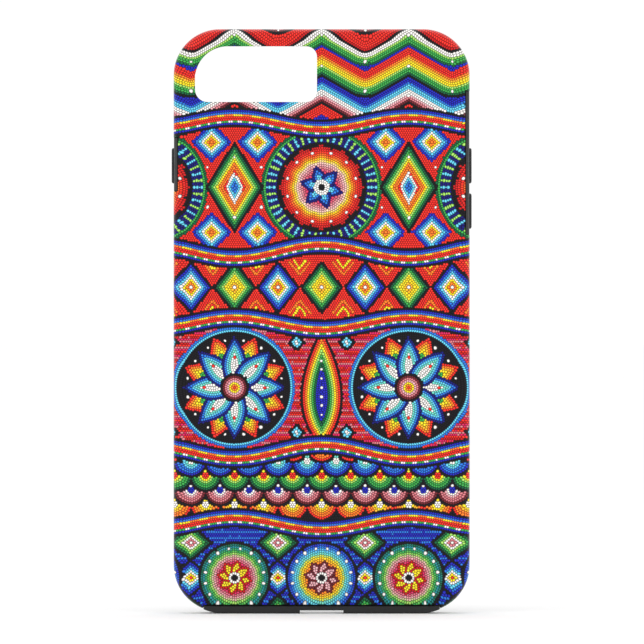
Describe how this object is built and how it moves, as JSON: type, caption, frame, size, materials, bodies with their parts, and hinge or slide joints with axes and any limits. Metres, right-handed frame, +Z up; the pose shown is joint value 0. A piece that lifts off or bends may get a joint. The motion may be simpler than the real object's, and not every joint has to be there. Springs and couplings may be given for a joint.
{
  "type": "phone case",
  "caption": "Two-layer case for a large dual-camera phone: glossy hard shell printed with a seed-bead pattern over a black soft liner with side button pads.",
  "frame": {"origin": "centre of the flat bottom edge that the case stands on", "axes": "+Z up along the case's length, +X to the right seen from the printed back, +Y from the printed back towards the screen side"},
  "size_m": [0.0842, 0.0112, 0.1637],
  "materials": {
    "printed_shell": "gloss, printed all over with a many-coloured seed-bead pattern",
    "liner_rubber": "matte black moulded rubber"
  },
  "bodies": {
    "liner": {"inner_liner": "liner_rubber"},
    "shell": {"outer_shell": "printed_shell"},
    "power_pad": {"power_pad": "liner_rubber"},
    "volume_up_pad": {"volume_up_pad": "liner_rubber"},
    "volume_down_pad": {"volume_down_pad": "liner_rubber"}
  },
  "joints": [
    {"name": "shell_pull_off", "type": "slide", "parent": "liner", "child": "shell", "axis": [0, -1, 0], "range_m": [0, 0.012]},
    {"name": "power_press", "type": "slide", "parent": "liner", "child": "power_pad", "axis": [1, 0, 0], "range_m": [0, 0.0004], "stiffness_N_per_m": 2000},
    {"name": "volume_up_press", "type": "slide", "parent": "liner", "child": "volume_up_pad", "axis": [-1, 0, 0], "range_m": [0, 0.0004], "stiffness_N_per_m": 2000},
    {"name": "volume_down_press", "type": "slide", "parent": "liner", "child": "volume_down_pad", "axis": [-1, 0, 0], "range_m": [0, 0.0004], "stiffness_N_per_m": 2000}
  ]
}
